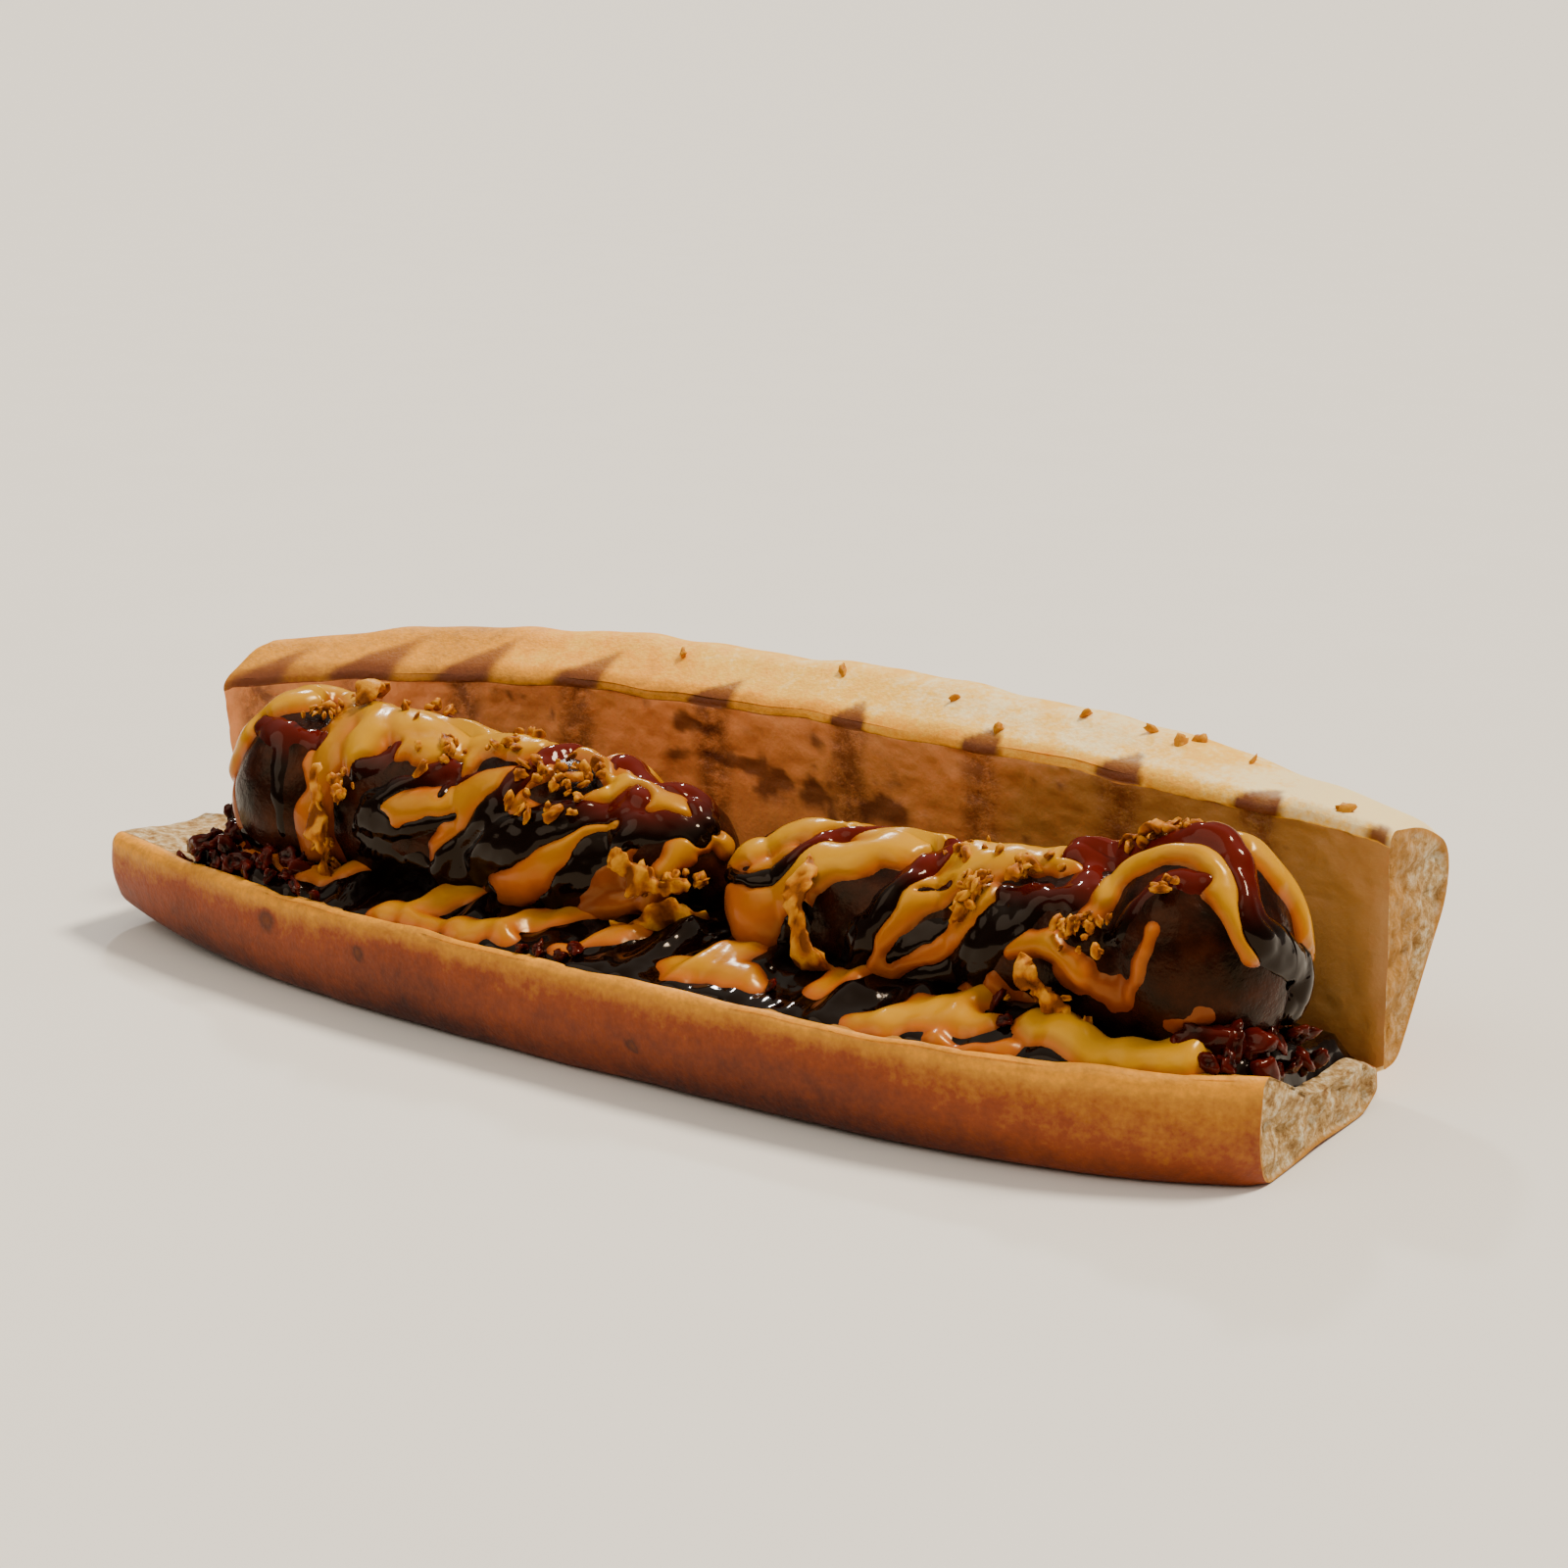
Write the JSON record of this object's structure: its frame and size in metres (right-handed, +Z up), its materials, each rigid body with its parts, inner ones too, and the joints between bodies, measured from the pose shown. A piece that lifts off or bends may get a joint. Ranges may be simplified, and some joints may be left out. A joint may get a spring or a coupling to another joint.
{
  "type": "hot dog",
  "caption": "Hot dog: thick slashed sausages end to end in a long cut roll, under cheese sauce, barbecue sauce and crisp fried onion.",
  "frame": {"origin": "on the surface it stands on, under the middle of the whole", "axes": "+X along the roll towards the cut end nearer the viewer, +Y from the open front to the upper half at the back, +Z up"},
  "size_m": [0.26, 0.1048, 0.0604],
  "materials": {
    "bread": "baked wheat crust, soft and slightly floury, with a white open crumb where it is cut",
    "sausage": "grilled brown sausage skin under glossy cheese sauce and dark barbecue sauce",
    "sauce": "thick dark barbecue sauce run together with cheese sauce, wet and glossy",
    "onion": "crisp golden fried onion, crinkled, a little oily"
  },
  "bodies": {
    "root": {"bun_lower": "bread", "bun_upper": "bread", "sausage_left": "sausage", "sausage_right": "sausage", "sauce_pool": "sauce", "fried_onion_1": "onion", "fried_onion_2": "onion", "fried_onion_3": "onion", "fried_onion_4": "onion", "fried_onion_5": "onion", "fried_onion_6": "onion", "fried_onion_7": "onion"}
  },
  "joints": []
}
